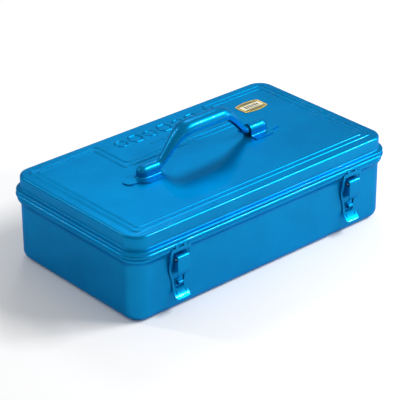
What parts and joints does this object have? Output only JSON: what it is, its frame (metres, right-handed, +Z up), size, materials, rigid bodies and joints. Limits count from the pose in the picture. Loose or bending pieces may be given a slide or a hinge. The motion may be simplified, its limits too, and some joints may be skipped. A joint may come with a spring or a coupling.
{
  "type": "tool box",
  "caption": "Pressed-steel trunk tool box with a hinged lid, a folding carry handle in domed brackets, rolled rims and snap hasps that close over sprung noses.",
  "frame": {"origin": "on the underside, in the middle of the body's footprint", "axes": "+X along the long side, -Y towards the latches, +Z up"},
  "size_m": [0.3602, 0.2162, 0.142],
  "materials": {
    "blue_paint": "glossy blue baked enamel with a fine metallic sheen",
    "plated_steel": "bright zinc-plated steel wire",
    "label_foil": "printed gold foil with a cream band"
  },
  "bodies": {
    "body": {"body_shell": "blue_paint", "hinge_left_body_leaf": "blue_paint", "hinge_left_pin": "plated_steel", "latch_left_keeper_base": "blue_paint", "latch_left_nose_pin": "plated_steel", "latch_left_nose_spring": "plated_steel", "latch_left_staple": "blue_paint", "hinge_right_body_leaf": "blue_paint", "hinge_right_pin": "plated_steel", "latch_right_keeper_base": "blue_paint", "latch_right_nose_pin": "plated_steel", "latch_right_nose_spring": "plated_steel", "latch_right_staple": "blue_paint"},
    "lid": {"lid_shell": "blue_paint", "lid_rim_wire": "plated_steel", "lid_label": "label_foil", "handle_bracket_left": "blue_paint", "hinge_left_lid_leaf": "blue_paint", "handle_bracket_right": "blue_paint", "hinge_right_lid_leaf": "blue_paint"},
    "handle": {"handle": "blue_paint"},
    "hasp_left": {"latch_left_hasp": "blue_paint"},
    "hasp_right": {"latch_right_hasp": "blue_paint"},
    "nose_left": {"latch_left_nose": "blue_paint"},
    "nose_right": {"latch_right_nose": "blue_paint"}
  },
  "joints": [
    {"name": "lid_hinge", "type": "hinge", "parent": "body", "child": "lid", "pos_m": [0, 0.10605, 0.0731], "axis": [-1, 0, 0], "range_deg": [0, 105]},
    {"name": "handle_fold", "type": "hinge", "parent": "lid", "child": "handle", "pos_m": [0, 0, 0.1035], "axis": [1, 0, 0], "range_deg": [-77, 80]},
    {"name": "hasp_left_swing", "type": "hinge", "parent": "lid", "child": "hasp_left", "pos_m": [-0.12, -0.1006, 0.0753], "axis": [-1, 0, 0], "range_deg": [0, 85]},
    {"name": "hasp_right_swing", "type": "hinge", "parent": "lid", "child": "hasp_right", "pos_m": [0.12, -0.1006, 0.0753], "axis": [-1, 0, 0], "range_deg": [0, 85]},
    {"name": "nose_left_press", "type": "hinge", "parent": "body", "child": "nose_left", "pos_m": [-0.12, -0.1032, 0.0607], "axis": [1, 0, 0], "range_deg": [0, 5], "stiffness_Nm_per_rad": 0.3, "springref_deg": -11.46},
    {"name": "nose_right_press", "type": "hinge", "parent": "body", "child": "nose_right", "pos_m": [0.12, -0.1032, 0.0607], "axis": [1, 0, 0], "range_deg": [0, 5], "stiffness_Nm_per_rad": 0.3, "springref_deg": -11.46}
  ]
}
